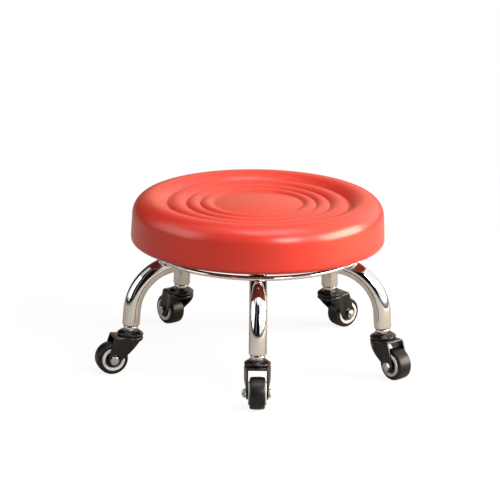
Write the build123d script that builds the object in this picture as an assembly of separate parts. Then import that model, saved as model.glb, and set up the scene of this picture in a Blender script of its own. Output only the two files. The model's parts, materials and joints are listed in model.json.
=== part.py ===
from build123d import *
import os
from math import cos, hypot, pi, radians, sin, sqrt

# Rolling stool: a round cushion on a turntable, five bent tube legs, a ring and five swivel casters.
# Millimetres, +Z up, origin on the floor below the middle of the seat, the front leg towards -Y.
# Angles are in degrees, anticlockwise as seen from above, with 0 along +X.

# Legs and where the casters point at rest
leg_angles = {"front": -90, "front_right": -18, "rear_right": 54, "rear_left": 126, "front_left": 198}
caster_turns = {"front": 0, "front_right": -34, "rear_right": -15, "rear_left": 0, "front_left": 0}
leg_tube_radius = 11.0
leg_tube_wall = 1.5
leg_level_height = 137.0
leg_bend_radius = 61.5
leg_foot_circle_radius = 166.0
leg_foot_height = 60.0
leg_lean = 4
leg_lip_radius = 3.0
leg_tuck = 6.0

# Hub that the legs are welded to, and the ring laid on their shoulders
hub_radius = 22.0
hub_wall = 2.5
hub_skirt = 4.0
hub_plate_radius = 56.0
hub_plate_thickness = 3.0
ring_radius = 129.5
ring_rod_radius = 3.0
weld_gap = 0.05

# Turntable between hub plate and seat board
turntable_lower_radius = 58.0
turntable_upper_radius = 75.0
turntable_sheet = 2.0
turntable_ball_radius = 2.5
turntable_race_radius = 34.0
turntable_gap = 4.7
race_clearance = 0.15
ball_spacing = 0.2
rivet_radius = 8.0
rivet_bore_radius = 5.0
rivet_head_radius = 12.0
rivet_head_thickness = 1.5
running_clearance = 0.05
turning_gap = 0.1
stud_circle_radius = 47.0
stud_radius = 2.5
stud_head_radius = 5.0
stud_head_thickness = 2.0
stud_end = 1.5
stud_nut_across_flats = 8.0
stud_nut_thickness = 4.0

# Seat: cover, foam, plywood board, dust cover and fasteners
seat_radius = 160.0
seat_thickness = 57.5
seat_wall_lean = 3
seat_edge_radius = 6.0
crease_radii = (57.0, 73.0, 90.5, 115.0)
crease_depth = 9.3
band_rise_share = 0.16
dome_rise = 4.0
roll_crown_radius = 135.0
roll_outer_radius = 24.0
roll_turn = 40
cover_thickness = 1.2
cover_wrap_radius = 122.0
board_radius = 148.0
board_thickness = 12.0
board_hole_radius = 16.0
dust_cover_thickness = 0.5
dust_cover_margin = 1.5
board_screw_count = 4
board_screw_circle_radius = 66.0
board_screw_radius = 2.2
board_screw_length = 10.0
board_screw_head_radius = 4.4
board_screw_head_thickness = 2.4
staple_count = 24
staple_circle_radius = 137.0
staple_crown = 10.0
staple_wire = 1.0
staple_leg = 6.0

# Caster stack below the foot of a leg
stem_thread_radius = 5.0
insert_clearance = 0.1
insert_length = 13.0
stem_thread_margin = 1.5
collar_radius = 9.3
collar_height = 3.2
collar_chamfer = 0.8
collar_neck_across_flats = 13.0
collar_neck_height = 2.6
kingpin_radius = 4.0
kingpin_head_radius = 6.5
kingpin_head_thickness = 2.4
cap_radius = 16.4
cap_seat_radius = 8.2
cap_ridge_radius = 10.8
cap_ridge_height = 0.8
cap_shoulder_radius = 15.4
cap_shoulder_drop = 2.3
cap_rim_drop = 3.1
cap_sheet = 1.7
cap_height = 5.2
cap_gap = 0.8
caster_ball_radius = 2.38
caster_race_radius = 10.5
caster_race_depth = 0.28
caster_race_clearance = 0.2

# Fork, axle and wheel
swivel_lead = 22.5
fork_sheet = 2.1
fork_bend_radius = 2.4
fork_inner_bend_radius = 0.5
fork_top_radius = 16.4
fork_straight_start = 15.0
fork_side_clearance = 0.25
fork_skirt = 3.7
fork_throat_back = 8.5
fork_throat_drop = 5.7
fork_boss_radius = 7.8
wheel_radius = 20.0
tread_width = 19.0
tread_crown = 0.4
tyre_shoulder_radius = 2.6
rim_radius = 14.5
rim_inner_radius = 10.75
rim_proud = 1.6
rim_edge = 0.4
hub_boss_radius = 5.2
hub_step_radius = 8.4
hub_step_recess = 2.4
hub_recess = 4.6
axle_radius = 3.0
axle_hole_clearance = 0.1
axle_head_across_flats = 10.0
axle_head_thickness = 3.1
axle_nut_across_flats = 10.0
axle_nut_thickness = 4.6
axle_end = 1.0
axle_end_chamfer = 0.5

# One overrun lets every cutting body pass the faces that it cuts
overrun = 5.0

# Heights of the stack, from the legs up
hub_plate_bottom = leg_level_height + leg_tube_radius
lower_sheet_bottom = hub_plate_bottom + hub_plate_thickness
lower_sheet_top = lower_sheet_bottom + turntable_sheet
upper_sheet_bottom = lower_sheet_top + turntable_gap
board_bottom = upper_sheet_bottom + turntable_sheet
seat_bottom = board_bottom - cover_thickness
seat_top = seat_bottom + seat_thickness

# Heights of the caster stack, down from the foot of the leg along the stem
cap_seat_z = -collar_height - collar_neck_height
cap_rim_z = cap_seat_z - cap_height
fork_top_z = cap_rim_z - cap_gap
fork_plate_z = fork_top_z - fork_sheet
caster_race_z = fork_top_z + caster_ball_radius - caster_race_depth
cap_underside_z = caster_race_z + caster_ball_radius - caster_race_depth
axle_drop = (leg_foot_height - wheel_radius + swivel_lead * sin(radians(leg_lean))) / cos(radians(leg_lean))
rim_half_width = tread_width / 2 + rim_proud
fork_inner_half_width = rim_half_width + fork_side_clearance
fork_half_width = fork_inner_half_width + fork_sheet


def turned(profile):
    """Solid of revolution about Z of a closed profile drawn as (radius, height)."""
    return revolve(Plane.XZ * profile, Axis.Z)


def turned_outline(*points):
    """Solid of revolution about Z of a polygon of (radius, height) points."""
    return turned(make_face(Polyline(*points, close=True)))


def post(radius, bottom, top):
    """Upright cylinder about Z between two heights."""
    return Pos(0, 0, bottom) * Cylinder(radius, top - bottom, align=(Align.CENTER, Align.CENTER, Align.MIN))


def tube(outer_radius, inner_radius, bottom, top):
    """Upright tube about Z between two heights."""
    return post(outer_radius, bottom, top) - post(inner_radius, bottom - overrun, top + overrun)


def hexagon(across_flats, bottom, top):
    """Upright hexagonal prism about Z between two heights."""
    section = RegularPolygon(across_flats / 2, 6, major_radius=False)
    return Pos(0, 0, bottom) * extrude(section, top - bottom)


def around(count, shape, start_angle=0):
    """Copies of a shape, evenly spaced about Z."""
    return [Rot(0, 0, start_angle + 360 * index / count) * shape for index in range(count)]


def balls(radius, race_radius, height):
    """As many balls as a race holds with a little room between them."""
    count = int(2 * pi * race_radius / (2 * radius + ball_spacing))
    return around(count, Pos(race_radius, 0, height) * Sphere(radius))


def group(shapes):
    """One node that holds several separate solids."""
    return Compound(children=list(shapes))


def caster_place(name):
    """Where a caster sits: its origin at the middle of the leg's foot, Z up the stem, X along the trail."""
    foot = Pos(leg_foot_circle_radius, 0, leg_foot_height)
    return Rot(0, 0, leg_angles[name]) * foot * Rot(0, -leg_lean, 0) * Rot(0, 0, caster_turns[name])


def at_casters(shape):
    """The same piece at all five casters."""
    return [caster_place(name) * shape for name in leg_angles]


# Leg

def leg_path():
    """Centreline of a leg as (distance from the seat's axis, height): level run, bend and leaning foot."""
    lean = radians(leg_lean)
    bend_centre_z = leg_level_height - leg_bend_radius
    straight = (bend_centre_z + leg_bend_radius * sin(lean) - leg_foot_height) / cos(lean)
    bend_centre_r = leg_foot_circle_radius - straight * sin(lean) - leg_bend_radius * cos(lean)
    inner_end = hub_radius - leg_tuck
    run = Line((inner_end, leg_level_height), (bend_centre_r, leg_level_height))
    bend = JernArc(run @ 1, run % 1, leg_bend_radius, -(90 - leg_lean))
    shank = Line(bend @ 1, (leg_foot_circle_radius, leg_foot_height))
    return run, bend, shank, bend_centre_r, bend_centre_z


def leg_lip():
    """Rolled-in edge at the foot of the tube, about the stem's axis with its lowest ring at height 0."""
    outer, wall, lip = leg_tube_radius, leg_tube_wall, leg_lip_radius
    outside = JernArc((outer, lip), (0, -1), lip, -90)
    inside = JernArc((outer - lip, wall), (1, 0), lip - wall, 90)
    mouth = Line(outside @ 1, inside @ 0)
    seam = Line(inside @ 1, outside @ 0)
    return turned(make_face([outside, mouth, inside, seam]))


def leg():
    """Bent tube, coped onto the hub, drawn towards +X."""
    run, bend, shank, _, _ = leg_path()
    lean = radians(leg_lean)
    lip_top = shank @ 1 - (shank % 1) * leg_lip_radius
    shank = Line(shank @ 0, lip_top)
    path = Plane.XZ * Wire([run, bend, shank])
    section = Circle(leg_tube_radius) - Circle(leg_tube_radius - leg_tube_wall)
    start = Plane(origin=(hub_radius - leg_tuck, 0, leg_level_height), x_dir=(0, 1, 0), z_dir=(1, 0, 0))
    pipe = sweep(start * section, path=path)
    foot = Pos(leg_foot_circle_radius, 0, leg_foot_height) * Rot(0, -leg_lean, 0)
    pipe = pipe + foot * leg_lip()
    return pipe - post(hub_radius, 0, leg_level_height + leg_bend_radius)


def support_ring():
    """Bright rod ring that lies on the shoulders of the legs."""
    _, _, _, bend_centre_r, bend_centre_z = leg_path()
    reach = leg_bend_radius + leg_tube_radius + ring_rod_radius + weld_gap
    height = bend_centre_z + sqrt(reach ** 2 - (ring_radius - bend_centre_r) ** 2)
    return Pos(0, 0, height) * Torus(ring_radius, ring_rod_radius)


# Hub and turntable

def stud_angles():
    """The studs stand midway between the legs."""
    return leg_angles["front"] + 360 / (2 * len(leg_angles))


def stud_holes(bottom, top):
    """Holes for the studs through a sheet between two heights."""
    hole = Pos(stud_circle_radius, 0, 0) * post(stud_radius, bottom - overrun, top + overrun)
    return around(len(leg_angles), hole, stud_angles())


def hub_tube():
    """Short upright tube that the legs are welded to."""
    bottom = leg_level_height - leg_tube_radius - hub_skirt
    return tube(hub_radius, hub_radius - hub_wall, bottom, hub_plate_bottom)


def hub_plate():
    """Round plate on top of the hub and the legs' level runs."""
    hole_radius = rivet_head_radius + hub_wall
    plate = tube(hub_plate_radius, hole_radius, hub_plate_bottom, lower_sheet_bottom)
    return plate - stud_holes(hub_plate_bottom, lower_sheet_bottom)


def turntable_race():
    """Ring-shaped body that cuts the ball groove into both turntable sheets."""
    middle = (lower_sheet_top + upper_sheet_bottom) / 2
    return Pos(0, 0, middle) * Torus(turntable_race_radius, turntable_ball_radius + race_clearance)


def turntable_lower_plate():
    """Lower sheet, bolted to the hub plate."""
    sheet = tube(turntable_lower_radius, rivet_radius, lower_sheet_bottom, lower_sheet_top)
    return sheet - turntable_race() - stud_holes(lower_sheet_bottom, lower_sheet_top)


def turntable_upper_plate():
    """Upper sheet, screwed to the seat board and free to turn on the rivet."""
    bore = rivet_radius + running_clearance
    sheet = tube(turntable_upper_radius, bore, upper_sheet_bottom, board_bottom)
    return sheet - turntable_race() - group(board_screws())


def turntable_rivet():
    """Hollow rivet that keeps the two sheets together and lets the upper one turn."""
    body = post(rivet_radius, lower_sheet_bottom - rivet_head_thickness, board_bottom + turning_gap)
    lower_head = post(rivet_head_radius, lower_sheet_bottom - rivet_head_thickness, lower_sheet_bottom)
    head_bottom = board_bottom + turning_gap
    upper_head = post(rivet_head_radius, head_bottom, head_bottom + rivet_head_thickness)
    bore = post(rivet_bore_radius, lower_sheet_bottom - overrun, seat_top)
    return body + lower_head + upper_head - bore


def turntable_balls():
    """Full ring of balls between the two sheets."""
    middle = (lower_sheet_top + upper_sheet_bottom) / 2
    return balls(turntable_ball_radius, turntable_race_radius, middle)


def turntable_studs():
    """Flat-headed studs pressed into the lower sheet."""
    nut_bottom = hub_plate_bottom - stud_nut_thickness
    shank = post(stud_radius, nut_bottom - stud_end, lower_sheet_top)
    head = post(stud_head_radius, lower_sheet_top, lower_sheet_top + stud_head_thickness)
    return around(len(leg_angles), Pos(stud_circle_radius, 0, 0) * (shank + head), stud_angles())


def turntable_nuts():
    """Nuts under the hub plate."""
    nut = hexagon(stud_nut_across_flats, hub_plate_bottom - stud_nut_thickness, hub_plate_bottom)
    nut = nut - post(stud_radius, 0, seat_top)
    return around(len(leg_angles), Pos(stud_circle_radius, 0, 0) * nut, stud_angles())


# Seat

def seat_outline(inset):
    """Half section of the seat as (radius, height), shrunk evenly by an inset from the outer skin."""
    crease_z = seat_top - crease_depth - inset
    edges = [TangentArc((0, crease_z + dome_rise), (crease_radii[0], crease_z), tangent=(1, 0))]
    for inner, outer in zip(crease_radii, crease_radii[1:]):
        rise = (outer - inner) * band_rise_share
        crown = ((inner + outer) / 2, crease_z + rise)
        edges.append(ThreePointArc((inner, crease_z), crown, (outer, crease_z)))
    crown = (roll_crown_radius, seat_top - inset)
    inner_roll = TangentArc(crown, (crease_radii[-1], crease_z), tangent=(-1, 0))
    outer_roll = JernArc(crown, (1, 0), roll_outer_radius - inset, -roll_turn)
    lean, turn = radians(seat_wall_lean), radians(roll_turn)
    edge_radius = seat_edge_radius - inset
    wall_foot = Vector(
        seat_radius - seat_edge_radius + edge_radius * cos(lean),
        seat_bottom + seat_edge_radius + edge_radius * sin(lean),
    )
    offset = outer_roll @ 1 - wall_foot
    reach = cos(lean) * (cos(lean) - sin(turn)) - sin(lean) * (cos(turn) - sin(lean))
    shoulder_radius = -(offset.X * cos(lean) + offset.Y * sin(lean)) / reach
    shoulder = JernArc(outer_roll @ 1, outer_roll % 1, shoulder_radius, -(90 - seat_wall_lean - roll_turn))
    wall = Line(shoulder @ 1, wall_foot)
    edge = JernArc(wall_foot, wall % 1, edge_radius, -(90 + seat_wall_lean))
    underside = Line(edge @ 1, (0, seat_bottom + inset))
    middle = Line(underside @ 1, edges[0] @ 0)
    return make_face(edges + [inner_roll, outer_roll, shoulder, wall, edge, underside, middle])


def staple():
    """One staple, its crown below the cover and its legs driven upwards, drawn at +X."""
    width = staple_crown
    crown = Box(staple_wire, width, staple_wire, align=(Align.CENTER, Align.CENTER, Align.MAX))
    leg_box = Box(staple_wire, staple_wire, staple_leg, align=(Align.CENTER, Align.CENTER, Align.MIN))
    side = (width - staple_wire) / 2
    body = crown + Pos(0, side, 0) * leg_box + Pos(0, -side, 0) * leg_box
    return Pos(staple_circle_radius, 0, seat_bottom) * body


def staples():
    """Ring of staples that holds the cover to the board."""
    return around(staple_count, staple())


def board_screws():
    """Screws up through the turntable's upper sheet into the board."""
    shank = post(board_screw_radius, upper_sheet_bottom, board_bottom + board_screw_length)
    head_bottom = upper_sheet_bottom - board_screw_head_thickness
    head = post(board_screw_head_radius, head_bottom, upper_sheet_bottom)
    head = chamfer(head.edges().group_by(Axis.Z)[0], board_screw_head_thickness / 2)
    screw = Pos(board_screw_circle_radius, 0, 0) * (shank + head)
    return around(board_screw_count, screw, 360 / (2 * board_screw_count))


def seat_cover():
    """Skin of the seat with its creases, wrapped round the edge and under the board."""
    cover = turned(seat_outline(0)) - turned(seat_outline(cover_thickness))
    cover = cover - post(cover_wrap_radius, seat_bottom - overrun, board_bottom)
    return cover - group(staples())


def seat_foam():
    """Foam between skin and board."""
    foam = turned(seat_outline(cover_thickness))
    return foam - post(board_radius, board_bottom - overrun, board_bottom + board_thickness)


def seat_board():
    """Plywood disc with a hole for the rivet's head."""
    board = tube(board_radius, board_hole_radius, board_bottom, board_bottom + board_thickness)
    return board - group(board_screws()) - group(staples())


def dust_cover():
    """Thin cloth over the bare board between turntable and cover."""
    outer = cover_wrap_radius - dust_cover_margin
    inner = turntable_upper_radius + dust_cover_margin
    return tube(outer, inner, board_bottom - dust_cover_thickness, board_bottom)


# Caster pieces that stay with the leg

def leg_insert():
    """Threaded plug pressed into the foot of a leg."""
    outer = leg_tube_radius - leg_tube_wall - insert_clearance
    bottom = leg_lip_radius + insert_clearance
    return tube(outer, stem_thread_radius, bottom, bottom + insert_length)


def caster_stem():
    """Threaded stem above, kingpin below, with the head that carries the fork's plate."""
    top = leg_lip_radius + insert_length + stem_thread_margin
    head_top = fork_plate_z - turning_gap
    thread = post(stem_thread_radius, -collar_height, top)
    pin = post(kingpin_radius, head_top, -collar_height)
    head = post(kingpin_head_radius, head_top - kingpin_head_thickness, head_top)
    head = chamfer(head.edges().group_by(Axis.Z)[0], kingpin_head_thickness / 3)
    return thread + pin + head


def stem_collar():
    """Bright flange against the foot of the leg, with a hexagonal neck."""
    flange = post(collar_radius, -collar_height, 0)
    flange = chamfer(flange.edges().group_by(Axis.Z)[0], collar_chamfer)
    neck = hexagon(collar_neck_across_flats, cap_seat_z, -collar_height)
    return flange + neck - post(stem_thread_radius, -collar_height, overrun) - post(
        kingpin_radius, cap_seat_z - overrun, -collar_height
    )


def caster_race():
    """Ring-shaped body that cuts the ball groove into cap and fork."""
    return Pos(0, 0, caster_race_z) * Torus(caster_race_radius, caster_ball_radius + caster_race_clearance)


def race_cap():
    """Pressed round cap over the ball race."""
    cap = turned_outline(
        (kingpin_radius, cap_seat_z),
        (cap_seat_radius, cap_seat_z),
        (cap_ridge_radius, cap_seat_z + cap_ridge_height),
        (cap_shoulder_radius, cap_seat_z - cap_shoulder_drop),
        (cap_radius, cap_seat_z - cap_rim_drop),
        (cap_radius, cap_rim_z),
        (cap_radius - cap_sheet, cap_rim_z),
        (cap_radius - cap_sheet, cap_underside_z),
        (kingpin_radius, cap_underside_z),
    )
    return cap - caster_race()


def swivel_balls():
    """Ball rings of all the casters' swivels."""
    ring = balls(caster_ball_radius, caster_race_radius, caster_race_z)
    return [placed for ball in ring for placed in at_casters(ball)]


# Fork and axle

def fork_plan(inset, tail):
    """The fork's outline from above, round at the stem and straight along the trail, shrunk by an inset."""
    nose = fork_top_radius - inset
    side = fork_half_width - inset
    middle = (fork_straight_start / 2, (nose + side) / 2)
    half = [
        RadiusArc((-nose, 0), (0, nose), nose),
        TangentArc((0, nose), middle, tangent=(1, 0)),
        TangentArc((fork_straight_start, side), middle, tangent=(-1, 0)),
        Line((fork_straight_start, side), (tail, side)),
        Line((tail, side), (tail, 0)),
    ]
    other_half = [edge.mirror(Plane.XZ) for edge in half]
    return make_face(half + other_half)


def tangent_touch(point, centre, radius, side):
    """Where the tangent from a point touches a circle; side is +1 or -1 for the two tangents."""
    across, up = point[0] - centre[0], point[1] - centre[1]
    distance = hypot(across, up)
    along = radius ** 2 / distance
    aside = side * radius * sqrt(distance ** 2 - radius ** 2) / distance
    ux, uy = across / distance, up / distance
    return centre[0] + along * ux - aside * uy, centre[1] + along * uy + aside * ux


def fork_profile():
    """The fork's outline from the side: skirt, sloping throat, boss round the axle, steep back edge."""
    axle = (swivel_lead, -axle_drop)
    throat = (-fork_throat_back, fork_top_z - fork_throat_drop)
    back_top = (swivel_lead, fork_top_z)
    throat_touch = tangent_touch(throat, axle, fork_boss_radius, 1)
    back_touch = tangent_touch(back_top, axle, fork_boss_radius, -1)
    boss_bottom = (swivel_lead, -axle_drop - fork_boss_radius)
    front = -fork_top_radius - fork_sheet
    return make_face([
        Line(back_top, (front, fork_top_z)),
        Line((front, fork_top_z), (front, fork_top_z - fork_skirt)),
        Line((front, fork_top_z - fork_skirt), (-fork_top_radius, fork_top_z - fork_skirt)),
        Line((-fork_top_radius, fork_top_z - fork_skirt), throat),
        Line(throat, throat_touch),
        ThreePointArc(throat_touch, boss_bottom, back_touch),
        Line(back_touch, back_top),
    ])


def fork():
    """Pressed fork: one sheet folded down both sides, with race groove, kingpin bore and axle holes."""
    tail = swivel_lead + 2 * fork_boss_radius
    floor = -axle_drop - 2 * fork_boss_radius
    outside = extrude(Pos(0, 0, floor) * fork_plan(0, tail), fork_top_z - floor)
    rim = outside.edges().filter_by(lambda edge: edge.center().Z > fork_top_z - running_clearance)
    rim = rim.filter_by(lambda edge: edge.center().X < tail - fork_sheet)
    outside = fillet(rim, fork_bend_radius)
    inner_plan = Pos(0, 0, floor - overrun) * fork_plan(fork_sheet, tail + overrun)
    inside = extrude(inner_plan, fork_plate_z - floor + overrun)
    inner_rim = inside.edges().filter_by(lambda edge: edge.center().Z > fork_plate_z - running_clearance)
    inner_rim = inner_rim.filter_by(lambda edge: edge.center().X < tail)
    inside = fillet(inner_rim, fork_inner_bend_radius)
    side_view = extrude(Plane.XZ * fork_profile(), fork_half_width + overrun, both=True)
    body = (outside - inside) & side_view
    body = body - caster_race() - post(kingpin_radius + running_clearance, floor, overrun)
    hole_radius = axle_radius + axle_hole_clearance
    axle_hole = Cylinder(hole_radius, 2 * (fork_half_width + overrun), rotation=(90, 0, 0))
    return body - Pos(swivel_lead, 0, -axle_drop) * axle_hole


def along_axle(shape):
    """A piece drawn along Z, laid along the axle with its Z towards the head of the bolt."""
    return Pos(swivel_lead, 0, -axle_drop) * Rot(-90, 0, 0) * shape


def axle_bolt():
    """Hexagon bolt through both cheeks, the wheel's axle."""
    end = -fork_half_width - axle_nut_thickness - axle_end
    head = hexagon(axle_head_across_flats, fork_half_width, fork_half_width + axle_head_thickness)
    shank = post(axle_radius, end, fork_half_width)
    shank = chamfer(shank.edges().group_by(Axis.Z)[0], axle_end_chamfer)
    return along_axle(shank + head)


def lock_nut():
    """Nut on the bolt's end."""
    nut = hexagon(axle_nut_across_flats, -fork_half_width - axle_nut_thickness, -fork_half_width)
    return along_axle(nut - post(axle_radius, -2 * fork_half_width, 0))


# Wheel

def tyre():
    """Tyre with a slightly crowned tread and round shoulders."""
    half = tread_width / 2
    shoulder = tyre_shoulder_radius
    tread_edge = wheel_radius - tread_crown
    section = make_face([
        Line((rim_radius, -half), (tread_edge - shoulder, -half)),
        RadiusArc((tread_edge - shoulder, -half), (tread_edge, -half + shoulder), -shoulder),
        ThreePointArc((tread_edge, -half + shoulder), (wheel_radius, 0), (tread_edge, half - shoulder)),
        RadiusArc((tread_edge, half - shoulder), (tread_edge - shoulder, half), -shoulder),
        Line((tread_edge - shoulder, half), (rim_radius, half)),
        Line((rim_radius, half), (rim_radius, -half)),
    ])
    return along_axle(turned(section))


def wheel_rim():
    """Light ring between tyre and hub, a little proud of the tyre."""
    half = rim_half_width
    ring = turned_outline(
        (rim_inner_radius, -half + rim_edge),
        (rim_inner_radius + rim_edge, -half),
        (rim_radius - rim_edge, -half),
        (rim_radius, -half + rim_edge),
        (rim_radius, half - rim_edge),
        (rim_radius - rim_edge, half),
        (rim_inner_radius + rim_edge, half),
        (rim_inner_radius, half - rim_edge),
    )
    return along_axle(ring)


def wheel_hub():
    """Dark hub with a stepped recess on both sides, turning on the bolt."""
    bore = axle_radius + running_clearance
    boss, step, floor = rim_half_width, rim_half_width - hub_step_recess, rim_half_width - hub_recess
    section = [
        (bore, boss),
        (hub_boss_radius, boss),
        (hub_boss_radius, floor),
        (hub_step_radius, floor),
        (hub_step_radius, step),
        (rim_inner_radius, step),
    ]
    mirrored = [(radius, -height) for radius, height in reversed(section)]
    return along_axle(turned_outline(*section, *mirrored))


def base_nodes():
    """Pieces that stand still: legs, ring, hub, lower turntable and the upper caster parts."""
    bent_leg, cap = leg(), race_cap()
    nodes = {f"leg_{name}": Rot(0, 0, angle) * bent_leg for name, angle in leg_angles.items()}
    nodes["support_ring"] = support_ring()
    nodes["hub_tube"] = hub_tube()
    nodes["hub_plate"] = hub_plate()
    nodes["turntable_lower_plate"] = turntable_lower_plate()
    nodes["turntable_rivet"] = turntable_rivet()
    nodes["turntable_balls"] = group(turntable_balls())
    nodes["turntable_studs"] = group(turntable_studs())
    nodes["turntable_nuts"] = group(turntable_nuts())
    nodes["leg_inserts"] = group(at_casters(leg_insert()))
    nodes["caster_stems"] = group(at_casters(caster_stem()))
    nodes["stem_collars"] = group(at_casters(stem_collar()))
    nodes["swivel_balls"] = group(swivel_balls())
    for name in leg_angles:
        nodes[f"race_cap_{name}"] = caster_place(name) * cap
    return nodes


def seat_nodes():
    """Pieces that turn with the seat."""
    return {
        "seat_cover": seat_cover(),
        "seat_foam": seat_foam(),
        "seat_board": seat_board(),
        "dust_cover": dust_cover(),
        "seat_staples": group(staples()),
        "board_screws": group(board_screws()),
        "turntable_upper_plate": turntable_upper_plate(),
    }


def caster_nodes():
    """Fork, axle and wheel of each caster."""
    pieces = {
        "fork": fork(),
        "axle_bolt": axle_bolt(),
        "lock_nut": lock_nut(),
        "tyre": tyre(),
        "wheel_rim": wheel_rim(),
        "wheel_hub": wheel_hub(),
    }
    return {
        f"{piece}_{name}": caster_place(name) * shape
        for name in leg_angles
        for piece, shape in pieces.items()
    }


os.makedirs("parts", exist_ok=True)
for node, shape in (base_nodes() | seat_nodes() | caster_nodes()).items():
    export_step(shape, f"parts/{node}.step")
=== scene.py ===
# %% [markdown]
# # A low rolling stool
# The real stool is a round red cushion on five bent chromed tubes, with a bright rod ring
# under the seat and five small black swivel casters. The CAD frame already has every piece
# at its place. This lesson gives the frame its camera, light, finishes and finer shapes,
# one piece at a time, so that each step can be run and looked at alone.

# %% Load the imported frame
import json
import math

import bmesh
import bpy
from mathutils import Matrix, Vector


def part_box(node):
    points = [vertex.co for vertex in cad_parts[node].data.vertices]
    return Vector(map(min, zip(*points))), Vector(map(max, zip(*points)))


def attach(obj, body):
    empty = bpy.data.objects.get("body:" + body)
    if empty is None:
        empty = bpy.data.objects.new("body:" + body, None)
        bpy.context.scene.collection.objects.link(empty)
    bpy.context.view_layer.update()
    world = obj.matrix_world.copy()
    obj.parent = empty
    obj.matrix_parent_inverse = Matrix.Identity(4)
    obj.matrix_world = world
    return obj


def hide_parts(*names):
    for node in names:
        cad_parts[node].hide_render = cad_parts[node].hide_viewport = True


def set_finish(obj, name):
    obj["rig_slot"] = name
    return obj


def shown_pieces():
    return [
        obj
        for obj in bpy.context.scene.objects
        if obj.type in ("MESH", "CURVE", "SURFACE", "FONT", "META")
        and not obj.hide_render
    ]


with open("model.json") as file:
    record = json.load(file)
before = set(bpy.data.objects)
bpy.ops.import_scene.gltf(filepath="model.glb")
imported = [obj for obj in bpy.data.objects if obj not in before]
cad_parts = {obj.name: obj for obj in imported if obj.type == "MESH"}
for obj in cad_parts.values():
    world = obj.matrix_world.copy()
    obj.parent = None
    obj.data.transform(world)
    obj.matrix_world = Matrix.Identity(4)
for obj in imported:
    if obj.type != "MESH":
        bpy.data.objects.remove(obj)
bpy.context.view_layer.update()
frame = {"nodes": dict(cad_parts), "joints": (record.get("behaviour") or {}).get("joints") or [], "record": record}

nodes = frame["nodes"]

# %% [markdown]
# ## The camera
# The photograph was taken from some metres away, slightly above the seat, with the picture
# turned by about one degree. A long lens far off keeps the near and far casters almost the
# same size. The camera could be posed by eye, but a fit to the outline of the cushion, the
# ring and the feet gave its distance, height and turn, so these values are simply entered.

# %% Place the camera
MM = 0.001
camera_distance = 3500 * MM
camera_elevation = math.radians(15.86)
camera_roll = math.radians(0.88)
camera_turn = math.radians(-0.60)
camera_target = Vector((-9.5, 0.0, 145.5)) * MM
focal_in_widths = 2770 / 500
sensor_width = 36

turn = Matrix.Rotation(camera_turn, 3, "Z")
backwards = turn @ Vector((0, -math.cos(camera_elevation), math.sin(camera_elevation)))
sideways = turn @ Vector((1, 0, 0))
upwards = backwards.cross(sideways)
rolled_side = math.cos(camera_roll) * sideways + math.sin(camera_roll) * upwards
rolled_up = -math.sin(camera_roll) * sideways + math.cos(camera_roll) * upwards

bpy.ops.object.camera_add()
camera = bpy.context.object
camera.name = "camera"
camera.data.sensor_width = sensor_width
camera.data.lens = sensor_width * focal_in_widths
axes = Matrix((rolled_side, rolled_up, backwards)).transposed().to_4x4()
camera_place = turn @ camera_target + backwards * camera_distance
camera.matrix_world = Matrix.Translation(camera_place) @ axes
bpy.context.scene.camera = camera
print("lens %.1f mm at %.1f m" % (camera.data.lens, camera_distance))

# %% [markdown]
# ## Helpers for edit mode
# An operator works on all that is selected, so every step first selects what it is meant
# for. These helpers do what a hand would do with the mouse: make one object the only one,
# pick vertices or edges by where they are, name what was just added, and cut one piece
# with another.


# %% Select and edit
def only(piece):
    """Leaves one object selected and active."""
    bpy.ops.object.select_all(action="DESELECT")
    piece.select_set(True)
    bpy.context.view_layer.objects.active = piece


def named(name):
    """Gives the object that was just added its name."""
    piece = bpy.context.object
    piece.name = piece.data.name = name
    return piece


def enter(piece):
    """Opens one piece in edit mode with nothing selected."""
    only(piece)
    bpy.ops.object.mode_set(mode="EDIT")
    bpy.ops.mesh.select_all(action="DESELECT")


def leave():
    """Back to object mode."""
    bpy.ops.object.mode_set(mode="OBJECT")


def settle():
    """Applies the place, turn and size of the selected piece to its mesh."""
    bpy.ops.object.transform_apply(location=True, rotation=True, scale=True)


def copied(piece, name):
    """A copy with its own name, selected and active."""
    only(piece)
    bpy.ops.object.duplicate()
    return named(name)


def select_everything():
    """Selects all of the piece in edit mode."""
    bpy.ops.mesh.select_all(action="SELECT")


def face_outwards():
    """Turns all faces of the piece in edit mode to the outside."""
    select_everything()
    bpy.ops.mesh.normals_make_consistent(inside=False)


def add_cylinder(sides, radius, depth, place, turn=(0, 0, 0)):
    """Adds a cylinder or prism with its size and place in millimetres."""
    bpy.ops.mesh.primitive_cylinder_add(
        vertices=sides, radius=radius * MM, depth=depth * MM,
        location=[value * MM for value in place], rotation=turn,
    )


def pick(kind, test):
    """Selects the verts or edges whose middle, in millimetres, passes a test."""
    bpy.ops.mesh.select_mode(type={"verts": "VERT", "edges": "EDGE"}[kind])
    bpy.ops.mesh.select_all(action="DESELECT")
    mesh = bmesh.from_edit_mesh(bpy.context.edit_object.data)
    for item in getattr(mesh, kind):
        middle = item.co if kind == "verts" else (item.verts[0].co + item.verts[1].co) / 2
        item.select = bool(test(middle / MM))
    mesh.select_flush_mode()
    bmesh.update_edit_mesh(bpy.context.edit_object.data)


def apply_modifier(piece, kind, **settings):
    """Adds a modifier with its settings and applies it."""
    only(piece)
    modifier = piece.modifiers.new(kind.lower(), kind)
    for name, value in settings.items():
        setattr(modifier, name, value)
    bpy.ops.object.modifier_apply(modifier=modifier.name)


def cut(piece, tool, operation="DIFFERENCE"):
    """Cuts a tool out of a piece, or keeps what both share, and removes the tool."""
    apply_modifier(piece, "BOOLEAN", operation=operation, object=tool, solver="EXACT")
    bpy.data.objects.remove(tool)


def join(piece, other):
    """Makes another object a part of the piece."""
    only(piece)
    other.select_set(True)
    bpy.ops.object.join()


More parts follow.
